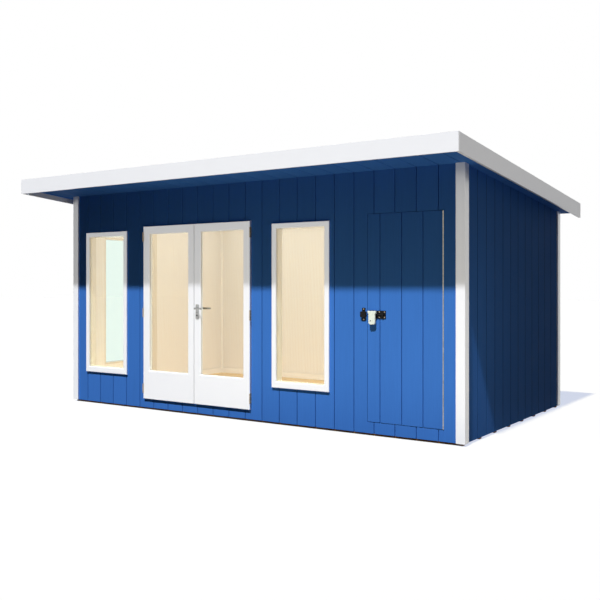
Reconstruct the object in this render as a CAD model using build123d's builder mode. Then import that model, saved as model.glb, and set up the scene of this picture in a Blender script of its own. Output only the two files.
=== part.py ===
from build123d import *

import os

# Box depth and roof overhangs, measured from the face of the cladding
clad_depth = 2560
front_overhang = 570
rear_overhang = 124
side_overhang = 195

# Front wall between its openings, from left to right, and above the doors
left_pier = 199
window_door_pier = 254
door_window_pier = 253
window_store_pier = 388
right_pier = 183
wall_over_doors = 378

# Roof build-up, measured from the underside of the soffit
roof_fall_height = 267
soffit_thickness = 12
roof_panel_thickness = 76
membrane_thickness = 4
edge_upstand = 8
edge_drop = 50
edge_board = 20

# Walls and corner trims
clad_thickness = 16
panel_thickness = 70
clad_ground_gap = 20
trim_face = 80
trim_thickness = 15
trim_round = 4

# Floor
joist_height = 80
joist_width = 45
joist_count = 8
deck_thickness = 22

# Fixed windows; the rise is from the floor, and the end window's place is from the front corner
end_window_place = 330
window_rise = 242
window_width = 630
window_height = 1528
window_face = 50
window_bottom_face = 58
window_proud = 18
window_liner = 20
window_chamfer = 4
glass_setback = 20
glass_thickness = 6
glass_bite = 10

# Glazed double doors
leaf_width = 695
leaf_height = 1790
leaf_thickness = 44
leaf_proud = 20
leaf_gap = 6
leaf_bead = 8
stile = 82
top_rail = 80
bottom_rail = 294
threshold_height = 7

# Store door, boarded flush with the wall
store_door_width = 699
store_door_height = 1786
store_threshold_height = 13
store_hinge_gap = 8
ledge_depth = 28
ledge_width = 90

# Door linings: each stop laps the leaf and stands behind it
stop_lap = 20
stop_gap = 6

# Butt hinges of the double doors
hinge_height = 96
hinge_inset = 105
hinge_plate = 2
knuckle_radius = 4.5
hinge_pin_radius = 2.2
pin_clearance = 0.3
knuckle_gap = 0.5
hinge_frame_depth = 42
hinge_leaf_depth = 36

# Continuous hinge of the store door
strip_knuckle_radius = 3.5
strip_pin_radius = 1.6
strip_plate = 1.5
strip_plate_depth = 34
strip_knuckles = 10

# Lever handle on the right leaf, with its rise from the floor
handle_rise = 963
handle_plate_width = 38
handle_plate_height = 146
handle_plate_thickness = 6
handle_plate_drop = 33
handle_plate_round = 8
spindle_radius = 5
spindle_hole_radius = 11
neck_radius = 9
neck_length = 34
lever_length = 108
lever_height = 18
lever_thickness = 11
lever_chamfer = 4
cylinder_radius = 8.5
cylinder_drop = 70
cylinder_proud = 3

# Keep on the wall, and bolt and padlock on the store door, with their rise from the floor
bolt_rise = 943
bolt_radius = 5
bolt_drawn = 4
keep_margin = 6
keep_plate_width = 32
keep_plate_height = 113
keep_plate_thickness = 4
keep_boss_width = 55
keep_boss_height = 50
keep_boss_depth = 20
keep_socket_radius = 6.5
bolt_plate_inset = 12
bolt_plate_width = 164
bolt_plate_height = 69
bolt_plate_thickness = 4
guide_width = 16
guide_height = 30
guide_depth = 14
guide_inset = 26
padlock_inset = 24
padlock_width = 62
padlock_height = 116
padlock_thickness = 18
padlock_top = 31
padlock_shoulder = 9
padlock_shoulder_height = 26
padlock_chamfer = 12
padlock_round = 3

cut_overrun = 20

# Sizes, faces and levels worked out from the sizes above
doors_width = leaf_width * 2 + leaf_gap
clad_width = (
    left_pier + window_width + window_door_pier + doors_width + door_window_pier
    + window_width + window_store_pier + store_door_width + right_pier
)
roof_width = clad_width + side_overhang * 2
roof_depth = front_overhang + clad_depth + rear_overhang
roof_front = -roof_depth / 2
roof_back = roof_depth / 2
clad_left = -clad_width / 2
clad_right = clad_width / 2
clad_front = roof_front + front_overhang
clad_back = clad_front + clad_depth
wall_depth = clad_thickness + panel_thickness
frame_left = clad_left + clad_thickness
frame_right = clad_right - clad_thickness
frame_front = clad_front + clad_thickness
frame_back = clad_back - clad_thickness
room_right = clad_right - wall_depth
room_front = clad_front + wall_depth
room_back = clad_back - wall_depth
floor_top = joist_height + deck_thickness

left_window_left = clad_left + left_pier
doors_left = left_window_left + window_width + window_door_pier
doors_right = doors_left + doors_width
right_leaf_left = doors_left + leaf_width + leaf_gap
right_window_left = doors_right + door_window_pier
store_left = right_window_left + window_width + window_store_pier
store_right = store_left + store_door_width

leaf_bottom = floor_top + threshold_height + leaf_gap
doors_top = leaf_bottom + leaf_height
doors_hole_left = doors_left - leaf_gap
doors_hole_right = doors_right + leaf_gap
doors_hole_top = doors_top + leaf_gap
leaf_front = clad_front - leaf_proud
leaf_back = leaf_front + leaf_thickness
leaf_light_width = leaf_width - stile * 2
leaf_light_height = leaf_height - top_rail - bottom_rail

store_door_bottom = floor_top + store_threshold_height + leaf_gap
store_top = store_door_bottom + store_door_height
store_hole_left = store_left - leaf_gap
store_hole_right = store_right + store_hinge_gap
store_hole_top = store_top + leaf_gap
store_back = clad_front + clad_thickness + ledge_depth

window_sill = floor_top + window_rise
window_light_width = window_width - window_face * 2
window_light_height = window_height - window_face - window_bottom_face
window_hole_width = window_light_width + window_liner * 2
window_hole_height = window_light_height + window_liner * 2
window_hole_rise = window_bottom_face - window_liner
handle_height = floor_top + handle_rise
bolt_height = floor_top + bolt_rise

slope_share = roof_fall_height / roof_depth
soffit_front_height = doors_top + wall_over_doors + slope_share * front_overhang
panel_low = soffit_thickness
panel_high = panel_low + roof_panel_thickness
membrane_high = panel_high + membrane_thickness
edge_high = membrane_high + edge_upstand
edge_side = roof_width / 2 - edge_board
edge_front = roof_front + edge_board
edge_back = roof_back - edge_board
soffit_plane = Plane(origin=(0, roof_front, soffit_front_height), z_dir=(0, slope_share, 1))


def roof_line(depth, lift):
    """Height of the roof's slope at a depth, lifted above the underside of the soffit."""
    return soffit_front_height + lift - slope_share * (depth - roof_front)


def wall_profile(front, back, bottom):
    """Side profile of a wall whose top meets the underside of the roof panel."""
    with BuildSketch() as profile:
        with BuildLine():
            Polyline(
                (front, bottom),
                (back, bottom),
                (back, roof_line(back, panel_low)),
                (front, roof_line(front, panel_low)),
                close=True,
            )
        make_face()
    return profile.sketch


def roof_slice(front, back, low, high):
    """Side profile of a layer that lies along the slope, with plumb ends."""
    with BuildSketch() as profile:
        with BuildLine():
            Polyline(
                (front, roof_line(front, low)),
                (back, roof_line(back, low)),
                (back, roof_line(back, high)),
                (front, roof_line(front, high)),
                close=True,
            )
        make_face()
    return profile.sketch


def front_face(centre, height):
    """Plane on the front cladding, facing out, with X to the right and Y up."""
    return Plane(origin=(centre, clad_front, height), x_dir=(1, 0, 0), z_dir=(0, -1, 0))


def left_face(centre, height):
    """Plane on the left end's cladding, facing out, with X to the front and Y up."""
    return Plane(origin=(clad_left, centre, height), x_dir=(0, -1, 0), z_dir=(-1, 0, 0))


left_window_plane = front_face(left_window_left + window_width / 2, window_sill)
right_window_plane = front_face(right_window_left + window_width / 2, window_sill)
end_window_plane = left_face(clad_front + end_window_place + window_width / 2, window_sill)


# Floor
with BuildPart() as floor_joists:
    joist_pitch = (frame_back - frame_front - joist_width) / (joist_count - 1)
    with Locations((0, (frame_front + frame_back) / 2, joist_height / 2)):
        with GridLocations(frame_right - frame_left, joist_pitch, 1, joist_count):
            Box(frame_right - frame_left, joist_width, joist_height)

with BuildPart() as floor_deck:
    with BuildSketch(Plane.XY.offset(joist_height)):
        with Locations((0, (frame_front + frame_back) / 2)):
            Rectangle(frame_right - frame_left, frame_back - frame_front)
    extrude(amount=deck_thickness)


# Front wall, split beside and over the two doorways
with BuildPart() as front_wall_left:
    with BuildSketch(Plane.YZ.offset(frame_left)):
        add(wall_profile(frame_front, room_front, floor_top))
    extrude(amount=doors_hole_left - frame_left)
    with BuildSketch(left_window_plane):
        with Locations((0, window_hole_rise)):
            Rectangle(window_hole_width, window_hole_height, align=(Align.CENTER, Align.MIN))
    extrude(amount=-wall_depth - cut_overrun, mode=Mode.SUBTRACT)

with BuildPart() as front_wall_over_doors:
    with BuildSketch(Plane.YZ.offset(doors_hole_left)):
        add(wall_profile(frame_front, room_front, doors_hole_top))
    extrude(amount=doors_hole_right - doors_hole_left)

with BuildPart() as front_wall_centre:
    with BuildSketch(Plane.YZ.offset(doors_hole_right)):
        add(wall_profile(frame_front, room_front, floor_top))
    extrude(amount=store_hole_left - doors_hole_right)
    with BuildSketch(right_window_plane):
        with Locations((0, window_hole_rise)):
            Rectangle(window_hole_width, window_hole_height, align=(Align.CENTER, Align.MIN))
    extrude(amount=-wall_depth - cut_overrun, mode=Mode.SUBTRACT)

with BuildPart() as front_wall_over_store_door:
    with BuildSketch(Plane.YZ.offset(store_hole_left)):
        add(wall_profile(frame_front, room_front, store_hole_top))
    extrude(amount=store_hole_right - store_hole_left)

with BuildPart() as front_wall_right:
    with BuildSketch(Plane.YZ.offset(store_hole_right)):
        add(wall_profile(frame_front, room_front, floor_top))
    extrude(amount=frame_right - store_hole_right)


# End walls and back wall
with BuildPart() as left_end_wall:
    with BuildSketch(Plane.YZ.offset(frame_left)):
        add(wall_profile(room_front, room_back, floor_top))
    extrude(amount=panel_thickness)
    with BuildSketch(end_window_plane):
        with Locations((0, window_hole_rise)):
            Rectangle(window_hole_width, window_hole_height, align=(Align.CENTER, Align.MIN))
    extrude(amount=-wall_depth - cut_overrun, mode=Mode.SUBTRACT)

with BuildPart() as right_end_wall:
    with BuildSketch(Plane.YZ.offset(room_right)):
        add(wall_profile(room_front, room_back, floor_top))
    extrude(amount=panel_thickness)

with BuildPart() as back_wall:
    with BuildSketch(Plane.YZ.offset(frame_left)):
        add(wall_profile(room_back, frame_back, floor_top))
    extrude(amount=frame_right - frame_left)


# Cladding skins
with BuildPart() as front_cladding:
    with BuildSketch(Plane.YZ.offset(clad_left)):
        add(wall_profile(clad_front, frame_front, clad_ground_gap))
    extrude(amount=clad_width)
    for window_plane in (left_window_plane, right_window_plane):
        with BuildSketch(window_plane):
            with Locations((0, window_hole_rise)):
                Rectangle(window_hole_width, window_hole_height, align=(Align.CENTER, Align.MIN))
        extrude(amount=-clad_thickness, mode=Mode.SUBTRACT)
    with BuildSketch(front_face((doors_hole_left + doors_hole_right) / 2, leaf_bottom - leaf_gap)):
        Rectangle(
            doors_hole_right - doors_hole_left,
            doors_hole_top - (leaf_bottom - leaf_gap),
            align=(Align.CENTER, Align.MIN),
        )
    extrude(amount=-clad_thickness, mode=Mode.SUBTRACT)
    with BuildSketch(front_face((store_hole_left + store_hole_right) / 2, store_door_bottom - leaf_gap)):
        Rectangle(
            store_hole_right - store_hole_left,
            store_hole_top - (store_door_bottom - leaf_gap),
            align=(Align.CENTER, Align.MIN),
        )
    extrude(amount=-clad_thickness, mode=Mode.SUBTRACT)

with BuildPart() as left_cladding:
    with BuildSketch(Plane.YZ.offset(clad_left)):
        add(wall_profile(frame_front, frame_back, clad_ground_gap))
    extrude(amount=clad_thickness)
    with BuildSketch(end_window_plane):
        with Locations((0, window_hole_rise)):
            Rectangle(window_hole_width, window_hole_height, align=(Align.CENTER, Align.MIN))
    extrude(amount=-clad_thickness, mode=Mode.SUBTRACT)

with BuildPart() as right_cladding:
    with BuildSketch(Plane.YZ.offset(frame_right)):
        add(wall_profile(frame_front, frame_back, clad_ground_gap))
    extrude(amount=clad_thickness)

with BuildPart() as back_cladding:
    with BuildSketch(Plane.YZ.offset(clad_left)):
        add(wall_profile(frame_back, clad_back, clad_ground_gap))
    extrude(amount=clad_width)


# Corner trims, angle boards planted over the corners of the cladding
def corner_trims(corner, inward):
    """The pair of angle trims at one depth; inward points along Y to the middle of the pod."""
    with BuildPart() as trims:
        with BuildSketch(Plane.XY.offset(clad_ground_gap)):
            with BuildLine():
                Polyline(
                    (clad_right, corner),
                    (clad_right - trim_face + trim_thickness, corner),
                    (clad_right - trim_face + trim_thickness, corner - inward * trim_thickness),
                    (clad_right + trim_thickness, corner - inward * trim_thickness),
                    (clad_right + trim_thickness, corner + inward * (trim_face - trim_thickness)),
                    (clad_right, corner + inward * (trim_face - trim_thickness)),
                    close=True,
                )
            make_face()
        extrude(amount=soffit_front_height)
        split(bisect_by=soffit_plane, keep=Keep.BOTTOM)
        outer_edge = trims.edges().filter_by(Axis.Z).sort_by_distance(
            (clad_right + trim_thickness, corner - inward * trim_thickness, soffit_front_height / 2)
        )[0]
        fillet(outer_edge, radius=trim_round)
        mirror(about=Plane.YZ)
    return trims


front_corner_trims = corner_trims(clad_front, 1)
back_corner_trims = corner_trims(clad_back, -1)


# Roof: structural panel, membrane, soffit ring, ceiling and edge boards
with BuildPart() as roof_panel:
    with BuildSketch(Plane.YZ):
        add(roof_slice(edge_front, edge_back, panel_low, panel_high))
    extrude(amount=edge_side, both=True)

with BuildPart() as roof_membrane:
    with BuildSketch(Plane.YZ):
        add(roof_slice(edge_front, edge_back, panel_high, membrane_high))
    extrude(amount=edge_side, both=True)

with BuildPart() as soffit:
    with BuildSketch(Plane.YZ):
        add(roof_slice(edge_front, edge_back, 0, panel_low))
    extrude(amount=edge_side, both=True)
    with BuildSketch(Plane.XY):
        with Locations((0, (clad_front + clad_back) / 2)):
            Rectangle(clad_width, clad_depth)
    extrude(amount=soffit_front_height + panel_low, mode=Mode.SUBTRACT)

with BuildPart() as ceiling_lining:
    with BuildSketch(Plane.YZ):
        add(roof_slice(room_front, room_back, 0, panel_low))
    extrude(amount=room_right, both=True)

with BuildPart() as front_fascia:
    with BuildSketch(Plane.XZ.offset(-roof_front)):
        with Locations((0, soffit_front_height - edge_drop)):
            Rectangle(roof_width, edge_drop + edge_high, align=(Align.CENTER, Align.MIN))
    extrude(amount=-edge_board)

with BuildPart() as rear_fascia:
    with BuildSketch(Plane.YZ):
        add(roof_slice(edge_back, roof_back, 0, membrane_high))
    extrude(amount=edge_side, both=True)

with BuildPart() as bargeboards:
    with BuildSketch(Plane.YZ.offset(edge_side)):
        add(roof_slice(edge_front, roof_back, -edge_drop, edge_high))
    extrude(amount=edge_board)
    mirror(about=Plane.YZ)


# Windows: planted frame with a lining through the wall and a groove for the pane
def window_frame(face):
    """Fixed window frame on a cladding face whose origin is the middle of its sill line."""
    with BuildPart() as frame:
        with BuildSketch(face):
            Rectangle(window_width, window_height, align=(Align.CENTER, Align.MIN))
        extrude(amount=window_proud)
        with BuildSketch(face):
            with Locations((0, window_hole_rise)):
                Rectangle(window_hole_width, window_hole_height, align=(Align.CENTER, Align.MIN))
        extrude(amount=-wall_depth)
        with BuildSketch(face.offset(window_proud)):
            with Locations((0, window_bottom_face)):
                Rectangle(window_light_width, window_light_height, align=(Align.CENTER, Align.MIN))
        extrude(amount=-window_proud - wall_depth, mode=Mode.SUBTRACT)
        outer_face = frame.faces().sort_by(Axis(face.origin, face.z_dir))[-1]
        chamfer(outer_face.edges(), length=window_chamfer)
        with BuildSketch(face.offset(window_proud - glass_setback)):
            with Locations((0, window_bottom_face - glass_bite)):
                Rectangle(
                    window_light_width + glass_bite * 2,
                    window_light_height + glass_bite * 2,
                    align=(Align.CENTER, Align.MIN),
                )
        extrude(amount=-glass_thickness, mode=Mode.SUBTRACT)
    return frame


left_window_frame = window_frame(left_window_plane)
right_window_frame = window_frame(right_window_plane)
end_window_frame = window_frame(end_window_plane)

with BuildPart() as window_glass:
    for window_plane in (left_window_plane, right_window_plane, end_window_plane):
        with BuildSketch(window_plane.offset(window_proud - glass_setback)):
            with Locations((0, window_bottom_face - glass_bite)):
                Rectangle(
                    window_light_width + glass_bite * 2,
                    window_light_height + glass_bite * 2,
                    align=(Align.CENTER, Align.MIN),
                )
        extrude(amount=-glass_thickness)


# Door linings, which line the doorways and stop the leaves
def door_lining(left, right, top, hole_left, hole_right, hole_top, leaf_bottom_level, front):
    """Four-sided lining of a doorway, set behind the leaf that closes on it."""
    with BuildPart() as lining:
        with BuildSketch(Plane.XZ.offset(-front)):
            with Locations(((hole_left + hole_right) / 2, floor_top)):
                Rectangle(hole_right - hole_left, hole_top - floor_top, align=(Align.CENTER, Align.MIN))
            sill_top = leaf_bottom_level - leaf_gap
            with Locations(((left + right) / 2, sill_top)):
                Rectangle(
                    right - left - stop_lap * 2,
                    top - stop_lap - sill_top,
                    align=(Align.CENTER, Align.MIN),
                    mode=Mode.SUBTRACT,
                )
        extrude(amount=front - room_front)
    return lining


door_frame = door_lining(
    doors_left, doors_right, doors_top,
    doors_hole_left, doors_hole_right, doors_hole_top,
    leaf_bottom, leaf_back + stop_gap,
)
store_door_frame = door_lining(
    store_left, store_right, store_top,
    store_hole_left, store_hole_right, store_hole_top,
    store_door_bottom, store_back + stop_gap,
)


# Glazed leaves
def leaf_plane(left):
    """Plane on the front of a leaf, with its origin at the middle of the bottom edge."""
    return front_face(left + leaf_width / 2, leaf_bottom).offset(leaf_proud)


def glazed_leaf(left):
    """Framed leaf with one tall light, bevelled beads and a groove for the pane."""
    face = leaf_plane(left)
    with BuildPart() as leaf:
        with BuildSketch(face):
            Rectangle(leaf_width, leaf_height, align=(Align.CENTER, Align.MIN))
        extrude(amount=-leaf_thickness)
        with BuildSketch(face):
            with Locations((0, bottom_rail)):
                Rectangle(leaf_light_width, leaf_light_height, align=(Align.CENTER, Align.MIN))
        extrude(amount=-leaf_thickness, mode=Mode.SUBTRACT)
        chamfer(leaf.faces().sort_by(Axis.Y)[0].inner_wires()[0].edges(), length=leaf_bead)
        chamfer(leaf.faces().sort_by(Axis.Y)[-1].inner_wires()[0].edges(), length=leaf_bead)
        with BuildSketch(face.offset(-(leaf_thickness - glass_thickness) / 2)):
            with Locations((0, bottom_rail - glass_bite)):
                Rectangle(
                    leaf_light_width + glass_bite * 2,
                    leaf_light_height + glass_bite * 2,
                    align=(Align.CENTER, Align.MIN),
                )
        extrude(amount=-glass_thickness, mode=Mode.SUBTRACT)
    return leaf


def leaf_glass(left):
    """Pane that fills a leaf's groove."""
    with BuildPart() as pane:
        with BuildSketch(leaf_plane(left).offset(-(leaf_thickness - glass_thickness) / 2)):
            with Locations((0, bottom_rail - glass_bite)):
                Rectangle(
                    leaf_light_width + glass_bite * 2,
                    leaf_light_height + glass_bite * 2,
                    align=(Align.CENTER, Align.MIN),
                )
        extrude(amount=-glass_thickness)
    return pane


left_door = glazed_leaf(doors_left)
left_door_glass = leaf_glass(doors_left)
right_door_glass = leaf_glass(right_leaf_left)

handle_x = right_leaf_left + stile / 2
handle_axis = Plane(origin=(handle_x, leaf_front, handle_height), x_dir=(1, 0, 0), z_dir=(0, -1, 0))

with BuildPart() as right_door:
    add(glazed_leaf(right_leaf_left).part)
    with BuildSketch(handle_axis):
        Circle(spindle_hole_radius)
    extrude(amount=-leaf_thickness, mode=Mode.SUBTRACT)


# Lever handle: a plate with a lock cylinder on each face of the leaf, and one spindle with two levers
handle_plate_proud = handle_plate_thickness + cylinder_proud

with BuildPart() as handle_plates:
    for plate_plane in (handle_axis, handle_axis.offset(-leaf_thickness - handle_plate_thickness)):
        with BuildSketch(plate_plane):
            with Locations((0, -handle_plate_drop)):
                RectangleRounded(handle_plate_width, handle_plate_height, handle_plate_round)
            Circle(spindle_radius + pin_clearance, mode=Mode.SUBTRACT)
        extrude(amount=handle_plate_thickness)
    for cylinder_plane in (handle_axis, handle_axis.offset(-leaf_thickness - handle_plate_proud)):
        with BuildSketch(cylinder_plane):
            with Locations((0, -cylinder_drop)):
                Circle(cylinder_radius)
        extrude(amount=handle_plate_proud)

with BuildPart() as lever_handle:
    lever_reach = handle_plate_thickness + pin_clearance + neck_length
    with BuildSketch(handle_axis.offset(lever_reach)):
        Circle(neck_radius)
    extrude(amount=-neck_length)
    with BuildSketch(handle_axis.offset(-leaf_thickness - lever_reach)):
        Circle(neck_radius)
    extrude(amount=neck_length)
    with BuildSketch(handle_axis.offset(lever_reach)):
        Circle(spindle_radius)
    extrude(amount=-leaf_thickness - lever_reach * 2)
    for lever_plane in (
        handle_axis.offset(lever_reach),
        handle_axis.offset(-leaf_thickness - lever_reach - lever_thickness),
    ):
        with BuildSketch(lever_plane):
            with Locations(((lever_length - lever_height) / 2, 0)):
                SlotOverall(lever_length, lever_height)
        extrude(amount=lever_thickness)
    outer_grip = lever_handle.faces().sort_by(Axis.Y)[0]
    inner_grip = lever_handle.faces().sort_by(Axis.Y)[-1]
    chamfer(outer_grip.edges() + inner_grip.edges(), length=lever_chamfer)


# Butt hinges of the double doors
hinge_axis_y = leaf_front - knuckle_radius - knuckle_gap
hinge_bottoms = [
    leaf_bottom + hinge_inset - hinge_height / 2,
    leaf_bottom + leaf_height / 2 - hinge_height / 2,
    doors_top - hinge_inset - hinge_height / 2,
]
knuckle_height = hinge_height / 3
plate_front = hinge_axis_y + knuckle_radius + knuckle_gap


def hinge_plate_sketch(near, side, front, depth):
    """Plan of a hinge plate that starts at X near, is thick away from it and runs back from front."""
    with BuildSketch() as plan:
        with Locations((near + side * hinge_plate / 2, front + depth / 2)):
            Rectangle(hinge_plate, depth)
    return plan.sketch


def frame_hinges(edge, side):
    """Frame halves of a leaf's three hinges, with the pins; side points from the edge into the leaf."""
    axis_x = edge - side * leaf_gap / 2
    plate_near = edge - side * leaf_gap
    with BuildPart() as halves:
        for bottom in hinge_bottoms:
            with BuildSketch(Plane.XY.offset(bottom)):
                add(hinge_plate_sketch(plate_near, side, plate_front, hinge_frame_depth))
            extrude(amount=hinge_height)
            for rise in (0, knuckle_height * 2):
                with BuildSketch(Plane.XY.offset(bottom + rise)):
                    with Locations((axis_x, hinge_axis_y)):
                        Circle(knuckle_radius)
                    add(hinge_plate_sketch(plate_near, side, hinge_axis_y, plate_front - hinge_axis_y))
                extrude(amount=knuckle_height)
            with BuildSketch(Plane.XY.offset(bottom)):
                with Locations((axis_x, hinge_axis_y)):
                    Circle(hinge_pin_radius)
            extrude(amount=hinge_height)
    return halves


def leaf_hinges(edge, side):
    """Leaf halves of a leaf's three hinges, bored for the pins."""
    axis_x = edge - side * leaf_gap / 2
    plate_near = edge - side * hinge_plate
    with BuildPart() as halves:
        for bottom in hinge_bottoms:
            with BuildSketch(Plane.XY.offset(bottom)):
                add(hinge_plate_sketch(plate_near, side, plate_front, hinge_leaf_depth))
            extrude(amount=hinge_height)
            with BuildSketch(Plane.XY.offset(bottom + knuckle_height + knuckle_gap)):
                with Locations((axis_x, hinge_axis_y)):
                    Circle(knuckle_radius)
                add(hinge_plate_sketch(plate_near, side, hinge_axis_y, plate_front - hinge_axis_y))
                with Locations((axis_x, hinge_axis_y)):
                    Circle(hinge_pin_radius + pin_clearance, mode=Mode.SUBTRACT)
            extrude(amount=knuckle_height - knuckle_gap * 2)
    return halves


left_door_hinges = leaf_hinges(doors_left, 1)
right_door_hinges = leaf_hinges(doors_right, -1)

with BuildPart() as door_frame_hinges:
    add(frame_hinges(doors_left, 1).part)
    add(frame_hinges(doors_right, -1).part)


# Store door: boards flush with the cladding, on a ledged frame
with BuildPart() as store_door_boards:
    with BuildSketch(front_face((store_left + store_right) / 2, store_door_bottom)):
        Rectangle(store_door_width, store_door_height, align=(Align.CENTER, Align.MIN))
    extrude(amount=-clad_thickness)

with BuildPart() as store_door_ledges:
    with BuildSketch(front_face((store_left + store_right) / 2, store_door_bottom).offset(-clad_thickness)):
        Rectangle(store_door_width, store_door_height, align=(Align.CENTER, Align.MIN))
        panel_height = (store_door_height - ledge_width * 3) / 2
        for panel_bottom in (ledge_width, ledge_width * 2 + panel_height):
            with Locations((0, panel_bottom)):
                Rectangle(
                    store_door_width - ledge_width * 2,
                    panel_height,
                    align=(Align.CENTER, Align.MIN),
                    mode=Mode.SUBTRACT,
                )
    extrude(amount=-ledge_depth)


# Continuous hinge of the store door
strip_axis_x = store_right + store_hinge_gap / 2
strip_axis_y = clad_front - strip_knuckle_radius - knuckle_gap
strip_pitch = store_door_height / strip_knuckles


def strip_hinge(near, side, first, knuckle_bore):
    """One half of the strip hinge: a plate, every second knuckle, and a bore for the pin."""
    with BuildPart() as half:
        with BuildSketch(Plane.XY.offset(store_door_bottom)):
            with Locations((near + side * strip_plate / 2, clad_front + strip_plate_depth / 2)):
                Rectangle(strip_plate, strip_plate_depth)
        extrude(amount=store_door_height)
        for index in range(first, strip_knuckles, 2):
            with BuildSketch(Plane.XY.offset(store_door_bottom + strip_pitch * index + knuckle_gap)):
                with Locations((strip_axis_x, strip_axis_y)):
                    Circle(strip_knuckle_radius)
                with Locations((near + side * strip_plate / 2, (strip_axis_y + clad_front) / 2)):
                    Rectangle(strip_plate, clad_front - strip_axis_y)
                if knuckle_bore > 0:
                    with Locations((strip_axis_x, strip_axis_y)):
                        Circle(knuckle_bore, mode=Mode.SUBTRACT)
            extrude(amount=strip_pitch - knuckle_gap * 2)
    return half


store_door_hinge = strip_hinge(store_right, 1, 1, strip_pin_radius + pin_clearance)

with BuildPart() as store_frame_hinge:
    add(strip_hinge(store_hole_right, -1, 0, 0).part)
    with BuildSketch(Plane.XY.offset(store_door_bottom + knuckle_gap)):
        with Locations((strip_axis_x, strip_axis_y)):
            Circle(strip_pin_radius)
    extrude(amount=store_door_height - knuckle_gap * 2)


# Keep, bolt and padlock
keep_plane = front_face(store_hole_left - keep_margin - keep_boss_width / 2, bolt_height)

with BuildPart() as lock_keep:
    with BuildSketch(keep_plane):
        RectangleRounded(keep_plate_width, keep_plate_height, keep_margin)
    extrude(amount=keep_plate_thickness)
    with BuildSketch(keep_plane):
        RectangleRounded(keep_boss_width, keep_boss_height, keep_margin)
    extrude(amount=keep_boss_depth)
    with BuildSketch(Plane.YZ.offset(store_hole_left - keep_margin)):
        with Locations((clad_front - bolt_plate_thickness - guide_depth / 2, bolt_height)):
            Circle(keep_socket_radius)
    extrude(amount=-keep_boss_width / 2, mode=Mode.SUBTRACT)

bolt_plate_left = store_left + bolt_plate_inset
bolt_plate_right = bolt_plate_left + bolt_plate_width
bolt_plane = front_face((bolt_plate_left + bolt_plate_right) / 2, bolt_height)
guide_offset = bolt_plate_width / 2 - guide_inset

with BuildPart() as pad_bolt:
    with BuildSketch(bolt_plane):
        RectangleRounded(bolt_plate_width, bolt_plate_height, keep_margin)
    extrude(amount=bolt_plate_thickness)
    with BuildSketch(bolt_plane.offset(bolt_plate_thickness)):
        with Locations((-guide_offset, 0), (guide_offset, 0)):
            Rectangle(guide_width, guide_height)
    extrude(amount=guide_depth)
    with BuildSketch(Plane.YZ.offset(store_left + bolt_drawn)):
        with Locations((clad_front - bolt_plate_thickness - guide_depth / 2, bolt_height)):
            Circle(bolt_radius)
    extrude(amount=bolt_plate_right - guide_inset / 2 - store_left - bolt_drawn)

padlock_back = bolt_plate_thickness + guide_depth
padlock_centre = store_left + padlock_inset + padlock_width / 2
padlock_plane = front_face(padlock_centre, bolt_height + padlock_top).offset(padlock_back)

with BuildPart() as padlock:
    half_body = padlock_width / 2
    half_top = half_body + padlock_shoulder
    with BuildSketch(padlock_plane):
        with BuildLine():
            Polyline(
                (-half_top, 0),
                (half_top, 0),
                (half_top, -padlock_shoulder_height + padlock_shoulder),
                (half_body, -padlock_shoulder_height),
                (half_body, -padlock_height + padlock_chamfer),
                (half_body - padlock_chamfer, -padlock_height),
                (-half_body + padlock_chamfer, -padlock_height),
                (-half_body, -padlock_height + padlock_chamfer),
                (-half_body, -padlock_shoulder_height),
                (-half_top, -padlock_shoulder_height + padlock_shoulder),
                close=True,
            )
        make_face()
    extrude(amount=padlock_thickness)
    fillet(padlock.faces().sort_by(Axis.Y)[0].edges(), radius=padlock_round)


pieces = {
    "floor_joists": floor_joists,
    "floor_deck": floor_deck,
    "front_wall_left": front_wall_left,
    "front_wall_over_doors": front_wall_over_doors,
    "front_wall_centre": front_wall_centre,
    "front_wall_over_store_door": front_wall_over_store_door,
    "front_wall_right": front_wall_right,
    "left_end_wall": left_end_wall,
    "right_end_wall": right_end_wall,
    "back_wall": back_wall,
    "front_cladding": front_cladding,
    "left_cladding": left_cladding,
    "right_cladding": right_cladding,
    "back_cladding": back_cladding,
    "front_corner_trims": front_corner_trims,
    "back_corner_trims": back_corner_trims,
    "roof_panel": roof_panel,
    "roof_membrane": roof_membrane,
    "soffit": soffit,
    "ceiling_lining": ceiling_lining,
    "front_fascia": front_fascia,
    "rear_fascia": rear_fascia,
    "bargeboards": bargeboards,
    "left_window_frame": left_window_frame,
    "right_window_frame": right_window_frame,
    "end_window_frame": end_window_frame,
    "window_glass": window_glass,
    "door_frame": door_frame,
    "store_door_frame": store_door_frame,
    "door_frame_hinges": door_frame_hinges,
    "store_frame_hinge": store_frame_hinge,
    "lock_keep": lock_keep,
    "left_door": left_door,
    "left_door_glass": left_door_glass,
    "left_door_hinges": left_door_hinges,
    "right_door": right_door,
    "right_door_glass": right_door_glass,
    "right_door_hinges": right_door_hinges,
    "handle_plates": handle_plates,
    "lever_handle": lever_handle,
    "store_door_boards": store_door_boards,
    "store_door_ledges": store_door_ledges,
    "store_door_hinge": store_door_hinge,
    "pad_bolt": pad_bolt,
    "padlock": padlock,
}

os.makedirs("parts", exist_ok=True)
for name, piece in pieces.items():
    piece.part.label = name
    export_step(piece.part, f"parts/{name}.step")
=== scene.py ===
import math
import random

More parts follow.
